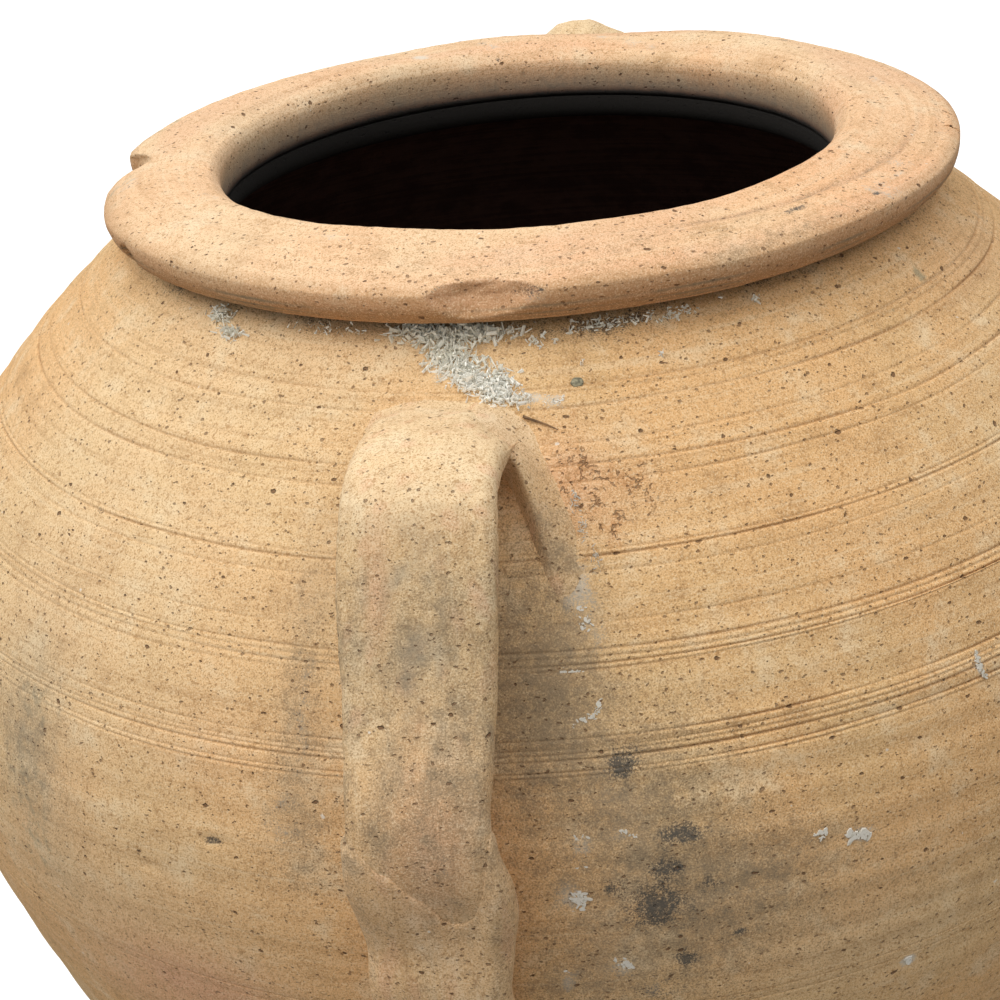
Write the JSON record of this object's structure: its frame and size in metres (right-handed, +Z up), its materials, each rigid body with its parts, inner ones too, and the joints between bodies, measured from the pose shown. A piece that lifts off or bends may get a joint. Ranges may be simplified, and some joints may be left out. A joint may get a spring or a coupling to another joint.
{
  "type": "olive jar",
  "caption": "Big-bellied terracotta storage jar with a broad everted rim, open mouth, flat foot and strap handles from shoulder to belly.",
  "frame": {"origin": "centre of the flat foot, on the surface the jar stands on", "axes": "+Z up along the jar's axis, through the mouth; the front handle on -Y and the rear handle on +Y"},
  "size_m": [0.4598, 0.5167, 0.5353],
  "materials": {
    "body_clay": "matte",
    "rim_clay": "matte",
    "strap_clay": "matte",
    "luting_clay": "matte"
  },
  "bodies": {
    "root": {"floor_disc": "body_clay", "foot_wall": "body_clay", "lower_wall": "body_clay", "flank_wall": "body_clay", "belly_wall": "body_clay", "shoulder_wall": "body_clay", "rim_ring": "rim_clay", "front_handle_strap": "strap_clay", "front_handle_collar": "luting_clay", "front_handle_wrap": "luting_clay", "rear_handle_strap": "strap_clay", "rear_handle_collar": "luting_clay", "rear_handle_wrap": "luting_clay"}
  },
  "joints": []
}
